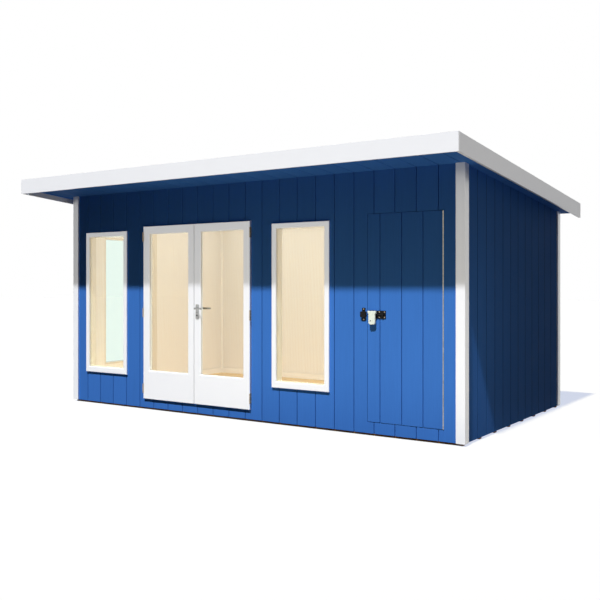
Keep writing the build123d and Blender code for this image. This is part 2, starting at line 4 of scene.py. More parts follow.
import bmesh
import bpy
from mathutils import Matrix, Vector


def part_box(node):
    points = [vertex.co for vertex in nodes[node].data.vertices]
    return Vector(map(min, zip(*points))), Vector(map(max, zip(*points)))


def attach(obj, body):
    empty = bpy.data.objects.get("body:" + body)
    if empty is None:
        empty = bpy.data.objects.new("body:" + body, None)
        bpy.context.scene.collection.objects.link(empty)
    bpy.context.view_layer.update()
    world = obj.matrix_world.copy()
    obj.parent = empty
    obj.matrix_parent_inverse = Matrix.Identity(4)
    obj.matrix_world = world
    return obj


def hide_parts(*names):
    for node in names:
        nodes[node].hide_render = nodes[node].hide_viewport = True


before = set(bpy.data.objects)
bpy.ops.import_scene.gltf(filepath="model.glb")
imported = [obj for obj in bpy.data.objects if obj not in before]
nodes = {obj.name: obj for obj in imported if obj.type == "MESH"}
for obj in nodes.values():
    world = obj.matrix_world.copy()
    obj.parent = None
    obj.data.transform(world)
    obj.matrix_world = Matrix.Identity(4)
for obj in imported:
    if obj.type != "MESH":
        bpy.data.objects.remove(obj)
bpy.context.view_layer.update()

# Boards outside: cover, first joint from the corner, shape of the joints, and the store door's
clad_pitch = 0.200
front_first_joint = 0.209
end_first_joint = 0.286
clad_joint_gap = 0.005
clad_joint_chamfer = 0.003
soffit_board = 0.012
soffit_joint_gap = 0.006
soffit_joint_chamfer = 0.004
store_joint_places = (0.117, 0.323, 0.520)
plank_reach = 0.0025
tongue_share = 0.2

# Sheets and floor boards inside, and the strips that cover their ends and joints
sheet_width = 0.610
sheet_joint_gap = 0.0008
sheet_joint_chamfer = 0.0008
end_joint = 0.115
floor_pitch = 0.118
floor_joint_gap = 0.0006
floor_joint_chamfer = 0.0006
skirting_height = 0.070
skirting_thickness = 0.014
corner_strip = 0.020
strip_chamfer = 0.005
joint_strip_width = 0.070
joint_strip_thickness = 0.008
strip_ease = 0.002

# How far the planted window frames lap the holes that they cover, and the gap under a leaf
frame_lap = 0.030
sill_lap = 0.038
leaf_gap = 0.006

# Screws, with their cross recess, and how far they sit from a plate's edge
screw_radius = 0.0055
screw_rise = 0.0022
screw_cross_reach = 0.00275
screw_cross_arm = 0.000715
screw_cross_depth = 0.00176
handle_screw_radius = 0.0044
handle_screw_rise = 0.00154
handle_cross_reach = 0.0022
handle_cross_arm = 0.00055
handle_cross_depth = 0.0011
screw_margin = 0.012

# Keyways, with their slot, and where they sit on the padlock and under the lever
keyway_radius = 0.0080
keyway_slot_reach = 0.00496
padlock_keyway_radius = 0.0065
padlock_slot_reach = 0.0039
keyway_rise = 0.0010
keyway_slot_arm = 0.00104
keyway_slot_depth = 0.0009
keyway_step_shares = (0.2, 0.4, 0.8)
padlock_key_across_share = 0.36
padlock_key_up_share = 0.28
cylinder_proud = 0.003
cylinder_drop = 0.070

# Thickness of the plates that carry the screws, and the low dome of a head: radius and rise
keep_plate = 0.004
bolt_plate = 0.004
dome_shares = ((1.0, 0.0), (1.0, 0.45), (0.86, 0.85), (0.70, 1.0))
head_sides = 24

# Daylight from the front, soft fills, the light in the room, and the floor and sky
sun_place = (0, -4, 8)
sun_travel = Vector((-0.078, 0.560, -1.000))
sun_strength = 5.00
sun_softness = math.radians(2.0)
front_fill_place = (1.5, -7.0, 7.0)
front_fill_power = 30.0
front_fill_size = (7.0, 7.0)
front_bounce_place = (1.4, -2.7, 0.05)
front_bounce_power = 33.0
front_bounce_size = (4.6, 2.0)
front_bounce_colour = (1.0, 0.88, 0.62)
side_fill_place = (6.0, -1.0, 1.5)
side_fill_travel = (-3.7, 0.0, -0.5)
side_fill_power = 3.6
side_fill_size = (2.0, 2.0)
corner_fill_place = (3.9, -1.6, 0.70)
corner_fill_travel = (-1.3, 0.8, 0.0)
corner_fill_power = 5.0
corner_fill_size = (0.8, 0.8)
side_colour = (1.0, 0.91, 0.78)
back_fill_place = (0, 8, 4)
back_fill_travel = (0.66, -0.75, -0.18)
back_fill_strength = 1.1
back_fill_softness = math.radians(40.0)
room_lamp_power = 22.0
room_lamp_size = (4.3, 2.3)
room_bounce_power = 20.0
room_bounce_rise = 0.004
room_bounce_colour = (1.0, 0.82, 0.70)
sky_fill = 0.008
sky_colour = (0.92, 0.96, 1.0, 1.0)
backdrop_colour = (1.0, 1.0, 1.0, 1.0)
floor_tone = (0.012, 0.010, 0.007, 1.0)
floor_seen_tone = (0.275, 0.240, 0.140, 1.0)
floor_glow = (0.612, 0.660, 0.800, 1.0)
floor_reach = 60.0

# The camera that the photograph was taken from
camera_place = (4.8840, -7.2146, 1.3051)
camera_turn = (math.pi / 2, 0.0, 0.5939)
camera_lens = 48.859
camera_sensor = 36.0
camera_shift_up = -0.02619

# One seeded source, so that each run gives the boards the same tones
chance = random.Random(7)

# Faces of the walls and the roof's slope, read from the frame
clad_low, clad_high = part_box("front_cladding")
back_low, back_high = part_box("back_cladding")
end_low, end_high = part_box("left_cladding")
soffit_low, soffit_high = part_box("soffit")
room_low, room_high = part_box("ceiling_lining")
deck_low, deck_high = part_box("floor_deck")
doors_low, doors_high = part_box("door_frame")
store_low, store_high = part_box("store_door_frame")
store_boards_low, store_boards_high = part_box("store_door_boards")
floor_top = deck_high.z
roof_slope = (soffit_high.z - soffit_board - soffit_low.z) / (soffit_high.y - soffit_low.y)


def roof_under(y):
    """Height of the soffit's underside at a depth."""
    return soffit_high.z - soffit_board - roof_slope * (y - soffit_low.y)


def srgb(red, green, blue):
    """A screen colour, 0 to 255, as the linear colour that a shader takes."""
    def linear(value):
        value = value / 255
        return value / 12.92 if value <= 0.04045 else ((value + 0.055) / 1.055) ** 2.4

    return (linear(red), linear(green), linear(blue), 1.0)


def scaled(colour, share):
    """The same colour, lighter or darker."""
    return tuple(min(c * share, 1.0) for c in colour[:3]) + (1.0,)


def grey(tone):
    """A neutral colour."""
    return (tone, tone, tone, 1.0)


# ---------------------------------------------------------------- materials

blue = srgb(61, 117, 200)
white = srgb(238, 241, 249)
pine_light, pine_dark = srgb(239, 234, 230), srgb(237, 230, 224)
floor_light, floor_dark = srgb(250, 220, 166), srgb(240, 198, 134)
liner_light, liner_dark = srgb(218, 204, 182), srgb(210, 194, 170)
strip_light, strip_dark = srgb(244, 240, 236), srgb(242, 236, 230)
# The joint cover strips are darker than the other strips: painted shade
joint_strip_shade_light, joint_strip_shade_dark = srgb(226, 217, 203), srgb(221, 210, 194)
brass_bright, brass_dull = srgb(196, 180, 154), srgb(156, 138, 112)
pale_brass_bright, pale_brass_dull = srgb(214, 206, 186), srgb(176, 166, 142)
steel_bright, steel_dull = srgb(192, 192, 190), srgb(128, 128, 128)
gunmetal_bright, gunmetal_dull = srgb(66, 66, 66), srgb(38, 38, 38)
streak_tone = (0.97, 0.965, 0.95, 1.0)
dark_board_tone = (0.98, 0.972, 0.96, 1.0)
knot_tone = (0.45, 0.27, 0.13, 1.0)
glass_tint = (0.90, 0.985, 0.945, 1.0)
glass_shadow_tint = (0.93, 0.985, 0.955, 1.0)
# Share of the blue that the grooves of the back and end walls take: painted shade in the joints
joint_shade = 0.5

# Index and clear coat's weight of each white paint, and the coat's own index
joinery_gloss = (2.6, 1.0)
trim_gloss = (2.2, 0.7)
barge_satin = (2.1, 0.0)
index_of_coat = 2.0

# Layer with each board's own number, how that shifts the grain, and a pattern with no grain
tone_layer = "board_tone"
board_shift = (1.0, 1.7, 2.3)
even = (1.0, 1.0, 1.0)


def new_material(name):
    """A material with its node tree and its Principled shader."""
    material = bpy.data.materials.new(name)
    material.use_nodes = True
    tree = material.node_tree
    return material, tree, tree.nodes["Principled BSDF"]


def board_tone(tree):
    """Each board's own number, 0 to 1."""
    node = tree.nodes.new("ShaderNodeAttribute")
    node.attribute_name = tone_layer
    return node.outputs["Fac"]


def place_nodes(tree, scale, spread=0.0):
    """Object coordinates stretched by scale, and shifted from board to board by spread."""
    coordinates = tree.nodes.new("ShaderNodeTexCoord").outputs["Object"]
    mapping = tree.nodes.new("ShaderNodeMapping")
    mapping.inputs["Scale"].default_value = scale
    tree.links.new(coordinates, mapping.inputs["Vector"])
    if spread:
        shift = tree.nodes.new("ShaderNodeVectorMath")
        shift.operation = "SCALE"
        shift.inputs[0].default_value = board_shift
        scale_by = tree.nodes.new("ShaderNodeMath")
        scale_by.operation = "MULTIPLY"
        scale_by.inputs[1].default_value = spread
        tree.links.new(board_tone(tree), scale_by.inputs[0])
        tree.links.new(scale_by.outputs["Value"], shift.inputs["Scale"])
        tree.links.new(shift.outputs["Vector"], mapping.inputs["Location"])
    return mapping.outputs["Vector"]


def noise(tree, vector, scale=1.0, detail=4.0, roughness=0.55, distortion=0.0):
    """A noise pattern, 0 to 1."""
    node = tree.nodes.new("ShaderNodeTexNoise")
    node.inputs["Scale"].default_value = scale
    node.inputs["Detail"].default_value = detail
    node.inputs["Roughness"].default_value = roughness
    node.inputs["Distortion"].default_value = distortion
    tree.links.new(vector, node.inputs["Vector"])
    return node.outputs["Fac"]


def ramp(tree, factor, *stops):
    """A colour ramp with (place, colour) stops."""
    node = tree.nodes.new("ShaderNodeValToRGB")
    elements = node.color_ramp.elements
    while len(elements) < len(stops):
        elements.new(0.5)
    for element, (at, colour) in zip(elements, stops):
        element.position = at
        element.color = colour
    tree.links.new(factor, node.inputs["Fac"])
    return node.outputs["Color"]


def spread_to(tree, factor, low, high):
    """A pattern spread from its middle range to low and high."""
    node = tree.nodes.new("ShaderNodeMapRange")
    node.inputs["From Min"].default_value = 0.3
    node.inputs["From Max"].default_value = 0.7
    node.inputs["To Min"].default_value = low
    node.inputs["To Max"].default_value = high
    tree.links.new(factor, node.inputs["Value"])
    return node.outputs["Result"]


def tinted(tree, colour, pattern, share=1.0):
    """A colour with a pattern multiplied over it."""
    node = tree.nodes.new("ShaderNodeMix")
    node.data_type = "RGBA"
    node.blend_type = "MULTIPLY"
    node.inputs["Factor"].default_value = share
    tree.links.new(colour, node.inputs["A"])
    tree.links.new(pattern, node.inputs["B"])
    return node.outputs["Result"]


def bumped(tree, shader, height, distance, strength):
    """Surface relief from a pattern."""
    node = tree.nodes.new("ShaderNodeBump")
    node.inputs["Distance"].default_value = distance
    node.inputs["Strength"].default_value = strength
    tree.links.new(height, node.inputs["Height"])
    tree.links.new(node.outputs["Normal"], shader.inputs["Normal"])


def along(axis, across, length):
    """Scale of a grain that runs along one axis."""
    return tuple(length if i == "XYZ".index(axis) else across for i in range(3))


def painted_boards(name, colour, axis):
    """Matt paint on planed boards, with the grain and each board's own tone showing faintly."""
    material, tree, shader = new_material(name)
    grain_place = place_nodes(tree, along(axis, across=90.0, length=3.0), spread=9.0)
    grain = noise(tree, grain_place, detail=6.0, roughness=0.6, distortion=0.4)
    broad_place = place_nodes(tree, along(axis, across=3.0, length=0.8), spread=5.0)
    broad = noise(tree, broad_place, detail=3.0)
    base = ramp(
        tree, grain,
        (0.25, scaled(colour, 0.95)), (0.55, colour), (0.85, scaled(colour, 1.04)),
    )
    cloud = ramp(tree, broad, (0.3, grey(0.95)), (0.7, grey(1.0)))
    board = ramp(tree, board_tone(tree), (0.0, grey(0.95)), (1.0, grey(1.0)))
    painted = tinted(tree, tinted(tree, base, cloud), board)
    tree.links.new(painted, shader.inputs["Base Color"])
    tree.links.new(spread_to(tree, grain, low=0.60, high=0.72), shader.inputs["Roughness"])
    shader.inputs["Specular IOR Level"].default_value = 0.035
    bumped(tree, shader, grain, distance=0.0012, strength=0.22)
    return material


def gloss_paint(tree, shader, axis, index, coat):
    """Gloss paint over a shader: faint brush marks along one axis and a clear top coat."""
    brush = noise(tree, place_nodes(tree, along(axis, across=160.0, length=4.0)))
    broad = noise(tree, place_nodes(tree, even), scale=2.5, detail=3.0)
    tree.links.new(spread_to(tree, brush, low=0.30, high=0.38), shader.inputs["Roughness"])
    shader.inputs["IOR"].default_value = index
    shader.inputs["Specular IOR Level"].default_value = 1.0
    shader.inputs["Coat Weight"].default_value = coat
    shader.inputs["Coat IOR"].default_value = index_of_coat
    shader.inputs["Coat Roughness"].default_value = 0.2
    bumped(tree, shader, brush, distance=0.0004, strength=0.15)
    return ramp(tree, broad, (0.3, scaled(white, 0.97)), (0.7, white))


def white_gloss(name, axis, index, coat):
    """White gloss paint on planed timber."""
    material, tree, shader = new_material(name)
    tree.links.new(gloss_paint(tree, shader, axis, index, coat), shader.inputs["Base Color"])
    return material


def white_outside_pine_inside(name, across, pane):
    """A window's frame: white gloss in front of the pane, clear-finished pine behind it."""
    material, tree, shader = new_material(name)
    painted = gloss_paint(tree, shader, "Z", *joinery_gloss)
    grain = noise(tree, place_nodes(tree, along("Z", across=120.0, length=4.0)))
    wood = ramp(tree, grain, (0.3, liner_dark), (0.6, liner_light))
    parts = tree.nodes.new("ShaderNodeSeparateXYZ")
    tree.links.new(tree.nodes.new("ShaderNodeTexCoord").outputs["Object"], parts.inputs["Vector"])
    behind = tree.nodes.new("ShaderNodeMath")
    behind.operation = "GREATER_THAN"
    behind.inputs[1].default_value = pane
    tree.links.new(parts.outputs[across], behind.inputs[0])
    mix = tree.nodes.new("ShaderNodeMix")
    mix.data_type = "RGBA"
    tree.links.new(behind.outputs["Value"], mix.inputs["Factor"])
    tree.links.new(painted, mix.inputs["A"])
    tree.links.new(wood, mix.inputs["B"])
    tree.links.new(mix.outputs["Result"], shader.inputs["Base Color"])
    return material


def pine(name, light, dark, axis, knots=True):
    """Clear-finished softwood: growth rings cut lengthways, fine grain and a few knots."""
    material, tree, shader = new_material(name)
    rings = tree.nodes.new("ShaderNodeTexWave")
    rings.bands_direction = "DIAGONAL"
    rings.inputs["Scale"].default_value = 0.55
    rings.inputs["Distortion"].default_value = 5.0
    rings.inputs["Detail"].default_value = 3.0
    rings.inputs["Detail Scale"].default_value = 0.7
    ring_place = place_nodes(tree, along(axis, across=26.0, length=1.3), spread=11.0)
    tree.links.new(ring_place, rings.inputs["Vector"])
    fine = noise(tree, place_nodes(tree, along(axis, across=240.0, length=5.0), spread=9.0))
    middle = tuple((a + b) / 2 for a, b in zip(light, dark))
    base = ramp(tree, rings.outputs["Fac"], (0.15, light), (0.75, middle), (1.0, dark))
    streak = ramp(tree, fine, (0.3, streak_tone), (0.62, grey(1.0)))
    board = ramp(tree, board_tone(tree), (0.0, dark_board_tone), (1.0, grey(1.0)))
    wood = tinted(tree, tinted(tree, base, streak, share=0.8), board)
    if knots:
        spots = tree.nodes.new("ShaderNodeTexVoronoi")
        spots.inputs["Scale"].default_value = 2.6
        spot_place = place_nodes(tree, along(axis, across=1.0, length=0.55), spread=9.0)
        tree.links.new(spot_place, spots.inputs["Vector"])
        knot = ramp(tree, spots.outputs["Distance"], (0.030, knot_tone), (0.055, grey(1.0)))
        wood = tinted(tree, wood, knot, share=0.75)
    tree.links.new(wood, shader.inputs["Base Color"])
    tree.links.new(spread_to(tree, fine, low=0.42, high=0.56), shader.inputs["Roughness"])
    shader.inputs["Specular IOR Level"].default_value = 0.3
    bumped(tree, shader, fine, distance=0.0008, strength=0.2)
    return material


def sawn_timber(name):
    """Pressure-treated joists, sawn and unpainted."""
    material, tree, shader = new_material(name)
    grain_place = place_nodes(tree, along("X", across=120.0, length=6.0))
    grain = noise(tree, grain_place, detail=5.0, roughness=0.6)
    saw = noise(tree, place_nodes(tree, along("X", across=4.0, length=160.0)), detail=2.0)
    base = ramp(
        tree, grain,
        (0.2, srgb(110, 70, 34)), (0.55, srgb(172, 118, 60)), (0.85, srgb(204, 152, 88)),
    )
    tree.links.new(base, shader.inputs["Base Color"])
    shader.inputs["Roughness"].default_value = 0.85
    bumped(tree, shader, saw, distance=0.002, strength=0.5)
    return material


def rubber_sheet(name):
    """One-piece rubber roof covering: matt, faintly streaked down the slope and wrinkled."""
    material, tree, shader = new_material(name)
    dust = noise(tree, place_nodes(tree, (14.0, 3.0, 14.0)), detail=6.0, roughness=0.6)
    pores = noise(tree, place_nodes(tree, even), scale=320.0, detail=2.0)
    wrinkle_place = place_nodes(tree, (5.0, 1.2, 1.0))
    wrinkle = noise(tree, wrinkle_place, detail=3.0, roughness=0.5, distortion=1.2)
    base = ramp(tree, dust, (0.25, srgb(50, 52, 55)), (0.75, srgb(58, 60, 62)))
    tree.links.new(tinted(tree, base, pores, share=0.12), shader.inputs["Base Color"])
    tree.links.new(spread_to(tree, pores, low=0.66, high=0.78), shader.inputs["Roughness"])
    shader.inputs["Specular IOR Level"].default_value = 0.3
    relief = tinted(tree, wrinkle, pores, share=0.5)
    bumped(tree, shader, relief, distance=0.004, strength=0.25)
    return material


def roof_core(name):
    """Edge of the structural roof panel: pressed flakes."""
    material, tree, shader = new_material(name)
    flake = tree.nodes.new("ShaderNodeTexVoronoi")
    flake.inputs["Scale"].default_value = 26.0
    tree.links.new(place_nodes(tree, (1.0, 1.0, 3.0)), flake.inputs["Vector"])
    flakes = flake.outputs["Distance"]
    base = ramp(tree, flakes, (0.1, srgb(186, 150, 100)), (0.7, srgb(150, 112, 68)))
    tree.links.new(base, shader.inputs["Base Color"])
    shader.inputs["Roughness"].default_value = 0.75
    bumped(tree, shader, flakes, distance=0.001, strength=0.4)
    return material


def metal(name, bright, dull, axis, rough, bare=1.0):
    """Metal brushed along one axis, with duller patches; bare is 1 without lacquer or tarnish."""
    material, tree, shader = new_material(name)
    lines = noise(tree, place_nodes(tree, along(axis, across=400.0, length=12.0)), detail=3.0)
    patches = noise(tree, place_nodes(tree, even), scale=60.0)
    base = ramp(tree, patches, (0.3, dull), (0.65, bright))
    tree.links.new(base, shader.inputs["Base Color"])
    shader.inputs["Metallic"].default_value = bare
    dull_rough = rough + 0.10
    tree.links.new(spread_to(tree, patches, low=dull_rough, high=rough), shader.inputs["Roughness"])
    bumped(tree, shader, lines, distance=0.0003, strength=0.12)
    return material


def black_coated(name):
    """Iron under black powder coat, with its fine orange-peel surface."""
    material, tree, shader = new_material(name)
    peel = noise(tree, place_nodes(tree, even), scale=700.0, detail=2.0)
    patches = noise(tree, place_nodes(tree, even), scale=50.0, detail=3.0)
    base = ramp(tree, patches, (0.3, srgb(9, 9, 10)), (0.7, srgb(20, 20, 21)))
    tree.links.new(base, shader.inputs["Base Color"])
    tree.links.new(spread_to(tree, patches, low=0.42, high=0.55), shader.inputs["Roughness"])
    shader.inputs["Specular IOR Level"].default_value = 0.15
    bumped(tree, shader, peel, distance=0.0004, strength=0.25)
    return material


def pale_enamel(name):
    """Pale enamel on the padlock's body, slightly mottled."""
    material, tree, shader = new_material(name)
    patches = noise(tree, place_nodes(tree, even), scale=45.0)
    peel = noise(tree, place_nodes(tree, even), scale=500.0, detail=2.0)
    base = ramp(tree, patches, (0.3, srgb(214, 226, 216)), (0.7, srgb(230, 238, 230)))
    tree.links.new(base, shader.inputs["Base Color"])
    tree.links.new(spread_to(tree, patches, low=0.38, high=0.46), shader.inputs["Roughness"])
    shader.inputs["Specular IOR Level"].default_value = 0.3
    bumped(tree, shader, peel, distance=0.0003, strength=0.15)
    return material


def painted_hollow_shade(name):
    """Inside of a recess or a keyway: near-black painted shade that stands in for the shadow in the
    hollow.
    """
    material, tree, shader = new_material(name)
    patches = noise(tree, place_nodes(tree, even), scale=300.0, detail=3.0)
    base = ramp(tree, patches, (0.3, srgb(12, 10, 9)), (0.7, srgb(40, 34, 30)))
    tree.links.new(base, shader.inputs["Base Color"])
    shader.inputs["Roughness"].default_value = 0.7
    return material


def clear_glass(name):
    """Clear pane with a faint green cast, which lets the lamps' light through."""
    material, tree, shader = new_material(name)
    shader.inputs["Base Color"].default_value = glass_tint
    shader.inputs["Transmission Weight"].default_value = 1.0
    shader.inputs["IOR"].default_value = 1.45
    ripple = noise(tree, place_nodes(tree, even), scale=3.0, detail=2.0)
    tree.links.new(spread_to(tree, ripple, low=0.0, high=0.015), shader.inputs["Roughness"])
    through = tree.nodes.new("ShaderNodeBsdfTransparent")
    through.inputs["Color"].default_value = glass_shadow_tint
    light_path = tree.nodes.new("ShaderNodeLightPath")
    mix = tree.nodes.new("ShaderNodeMixShader")
    tree.links.new(light_path.outputs["Is Shadow Ray"], mix.inputs["Fac"])
    tree.links.new(shader.outputs["BSDF"], mix.inputs[1])
    tree.links.new(through.outputs["BSDF"], mix.inputs[2])
    tree.links.new(mix.outputs["Shader"], tree.nodes["Material Output"].inputs["Surface"])
    return material


front_pane = sum(corner.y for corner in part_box("left_door_glass")) / 2
end_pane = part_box("window_glass")[0].x
blue_upright = painted_boards("blue_paint_upright", blue, "Z")
blue_lengthways = painted_boards("blue_paint_soffit", blue, "Y")
# Darker blue for the groove faces of the back and end walls: painted shade, not weathering
blue_shaded = painted_boards("blue_paint_joint_painted_shade", scaled(blue, joint_shade), "Z")
white_joinery = white_gloss("white_gloss_joinery", "Z", *joinery_gloss)
white_upright = white_gloss("white_gloss_upright", "Z", *trim_gloss)
white_across = white_gloss("white_gloss_across", "X", *trim_gloss)
white_lengthways = white_gloss("white_satin_lengthways", "Y", *barge_satin)
front_window_finish = white_outside_pine_inside("front_window_finish", "Y", front_pane)
end_window_finish = white_outside_pine_inside("end_window_finish", "X", end_pane)
pine_upright = pine("pine_upright", pine_light, pine_dark, "Z")
pine_sheet = pine("pine_faced_sheet", pine_light, pine_dark, "Z", knots=False)
pine_ceiling = pine("pine_faced_ceiling", pine_light, pine_dark, "Y", knots=False)
pine_strip = pine("pine_strip", strip_light, strip_dark, "Z", knots=False)
# Darker pine for the end walls' joint strips: painted shade
pine_joint_strip_painted_shade = pine(
    "pine_joint_strip_painted_shade", joint_strip_shade_light, joint_strip_shade_dark, "Z", knots=False,
)
pine_skirting = pine("pine_skirting", strip_light, strip_dark, "X", knots=False)
pine_floor = pine("pine_floor", floor_light, floor_dark, "X")
brass = metal("aged_brass", brass_bright, brass_dull, "Z", rough=0.40, bare=0.5)
pale_brass = metal("pale_brass", pale_brass_bright, pale_brass_dull, "Z", rough=0.36)
steel = metal("satin_steel", steel_bright, steel_dull, "X", rough=0.24)
iron = black_coated("black_iron")
gunmetal = metal("gunmetal_cylinder", gunmetal_bright, gunmetal_dull, "Z", rough=0.38, bare=0.6)
enamel = pale_enamel("pale_enamel")
# Near-black finish in the recesses of screws and keyways: painted shade
hollow_shade = painted_hollow_shade("recess_painted_shade")
glass = clear_glass("clear_glass")

node_materials = {
    "floor_joists": sawn_timber("sawn_joists"),
    "front_corner_trims": white_upright,
    "back_corner_trims": white_upright,
    "roof_panel": roof_core("roof_panel_core"),
    "roof_membrane": rubber_sheet("rubber_roof"),
    "front_fascia": white_across,
    "rear_fascia": white_across,
    "bargeboards": white_lengthways,
    "left_window_frame": front_window_finish,
    "right_window_frame": front_window_finish,
    "end_window_frame": end_window_finish,
    "window_glass": glass,
    "door_frame": white_joinery,
    "store_door_frame": blue_upright,
    "door_frame_hinges": brass,
    "store_frame_hinge": pale_brass,
    "lock_keep": iron,
    "left_door": white_joinery,
    "left_door_glass": glass,
    "left_door_hinges": brass,
    "right_door": white_joinery,
    "right_door_glass": glass,
    "right_door_hinges": brass,
    "handle_plates": steel,
    "lever_handle": steel,
    "store_door_ledges": pine_upright,
    "store_door_hinge": pale_brass,
    "pad_bolt": iron,
    "padlock": enamel,
}
for node_name, node_material in node_materials.items():
    node_data = nodes[node_name].data
    node_data.materials.clear()
    node_data.materials.append(node_material)


# ---------------------------------------------------------------- boards


def finish_mesh(name, bm, material, body):
    """A mesh object from bm that rides on a body and takes the given finish."""
    bmesh.ops.recalc_face_normals(bm, faces=bm.faces)
    data = bpy.data.meshes.new(name)
    bm.to_mesh(data)
    bm.free()
    data.materials.append(material)
    piece = bpy.data.objects.new(name, data)
    bpy.context.scene.collection.objects.link(piece)
    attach(piece, body)
    return piece


def sweep(bm, ring_low, ring_high, layer=None, tone=0.0):
    """A closed prism between two rings of points; returns its sides and its two ends."""
    low = [bm.verts.new(p) for p in ring_low]
    high = [bm.verts.new(p) for p in ring_high]
    if layer:
        for vert in low + high:
            vert[layer] = tone
    sides = []
    for i in range(len(low)):
        j = (i + 1) % len(low)
        sides.append(bm.faces.new((low[i], low[j], high[j], high[i])))
    return sides, [bm.faces.new(low), bm.faces.new(high[::-1])]


def joint_places(low, high, first, pitch):
    """Edges of the boards that cover low to high, with joints every pitch from first."""
    count = math.floor((low - first) / pitch) + 1
    inner = []
    while first + count * pitch < high:
        inner.append(first + count * pitch)
        count += 1
    return [low, *inner, high]


def left_round_holes(u0, u1, holes):
    """Upright strips of a board that are left round holes; None stands for the board's own end."""
    cuts = sorted({u0, u1, *(min(max(edge, u0), u1) for hole in holes for edge in hole[:2])})
    strips = []
    for a, b in zip(cuts, cuts[1:]):
        level = None
        for low, high in sorted(hole[2:] for hole in holes if hole[0] < (a + b) / 2 < hole[1]):
            if low is not None:
                strips.append((a, b, level, low))
            level = high
        strips.append((a, b, level, None))
    return strips


def board_wall(
    name, place, edges, ends, thick, holes, gap, chamfer, material, joint, body, slot, *replaced
):
    """Tongued boards side by side, with chamfered joints, cut round holes and painted there.
    place turns a point on the wall into one in the frame, ends gives a board's two ends at u,
    and joint is the finish in the joints, which on the back and end walls is a darker blue: painted
    shade in the grooves."""
    bm = bmesh.new()
    layer = bm.verts.layers.float.new(tone_layer)
    tongue, half = thick * tongue_share, gap / 2
    for number, (u0, u1) in enumerate(zip(edges, edges[1:])):
        tone = chance.random()
        for a, b, low, high in left_round_holes(u0, u1, holes):
            profile, joint_sides = [], []
            if a == u0 and number > 0:
                joint_sides += [0, 1]
                profile += [(a + half, 0), (a + half, thick - chamfer), (a + half + chamfer, thick)]
            else:
                profile += [(a, 0), (a, thick)]
            if b == u1 and number < len(edges) - 2:
                joint_sides += [len(profile), len(profile) + 1, len(profile) + 2]
                profile += [
                    (b - half - chamfer, thick), (b - half, thick - chamfer),
                    (b - half, tongue), (b + half, tongue), (b + half, 0),
                ]
            else:
                profile += [(b, thick), (b, 0)]
            ring_low = [place(u, ends(u)[0] if low is None else low, d) for u, d in profile]
            ring_high = [place(u, ends(u)[1] if high is None else high, d) for u, d in profile]
            sides, caps = sweep(bm, ring_low, ring_high, layer, tone)
            for face in [*caps, *(sides[i] for i in (0, len(profile) - 2))]:
                face.material_index = 1
            for i in joint_sides:
                sides[i].material_index = 2
    piece = finish_mesh(name, bm, material, body)
    piece.data.materials.append(blue_upright)
    piece.data.materials.append(joint)
    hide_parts(*replaced)


def window_hole(node, across):
    """The hole behind a planted window frame, as (u0, u1, low, high); across is the wall's axis."""
    low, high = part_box(node)
    return (
        low[across] + frame_lap, high[across] - frame_lap, low.z + sill_lap, high.z - frame_lap,
    )


front_windows = [window_hole("left_window_frame", 0), window_hole("right_window_frame", 0)]
end_windows = [window_hole("end_window_frame", 1)]
door_holes = [
    (doors_low.x, doors_high.x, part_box("left_door")[0].z - leaf_gap, doors_high.z),
    (store_low.x, store_high.x, store_boards_low.z - leaf_gap, store_high.z),
]
room_door_holes = [
    (doors_low.x, doors_high.x, None, doors_high.z),
    (store_low.x, store_high.x, None, store_high.z),
]
clad_thickness = clad_high.y - clad_low.y
front_edges = joint_places(clad_low.x, clad_high.x, clad_low.x + front_first_joint, clad_pitch)
end_edges = joint_places(end_low.y, end_high.y, clad_low.y + end_first_joint, clad_pitch)


def clad_ends(y):
    """Bottom and top of the cladding at a depth."""
    return clad_low.z, roof_under(y) + soffit_board


clad_joint = (clad_joint_gap, clad_joint_chamfer, blue_upright)
board_wall(
    "front_boards", lambda u, w, d: (u, clad_high.y - d, w), front_edges,
    lambda u: clad_ends(clad_high.y), clad_thickness, front_windows + door_holes,
    *clad_joint, blue_upright, "pod", "blue_boards", "front_cladding",
)
board_wall(
    "back_boards", lambda u, w, d: (u, back_low.y + d, w), front_edges,
    lambda u: clad_ends(back_high.y), clad_thickness, [],
    *clad_joint, blue_shaded, "pod", "blue_boards", "back_cladding",
)
board_wall(
    "left_boards", lambda u, w, d: (end_high.x - d, u, w), end_edges,
    clad_ends, clad_thickness, end_windows,
    *clad_joint, blue_shaded, "pod", "blue_boards", "left_cladding",
)
board_wall(
    "right_boards", lambda u, w, d: (-end_high.x + d, u, w), end_edges,
    clad_ends, clad_thickness, [],
    *clad_joint, blue_shaded, "pod", "blue_boards", "right_cladding",
)

# Soffit boards run from front to back, in line with the joints of the wall
board_wall(
    "soffit_boards", lambda u, w, d: (u, w, roof_under(w) + soffit_board - d),
    joint_places(soffit_low.x, soffit_high.x, clad_low.x + front_first_joint, clad_pitch),
    lambda u: (soffit_low.y, soffit_high.y), soffit_board,
    [(clad_low.x, clad_high.x, clad_low.y, back_high.y)],
    soffit_joint_gap, soffit_joint_chamfer, blue_lengthways, blue_lengthways,
    "pod", "blue_boards", "soffit",
)

# Store door's own boards
store_edges = [
    store_boards_low.x - plank_reach,
    *(store_boards_low.x + place for place in store_joint_places),
    store_boards_high.x,
]
board_wall(
    "store_door_planks", lambda u, w, d: (u, store_boards_high.y - d, w), store_edges,
    lambda u: (store_boards_low.z, store_boards_high.z + plank_reach), clad_thickness, [],
    *clad_joint, blue_upright, "store_leaf", "blue_boards", "store_door_boards",
)

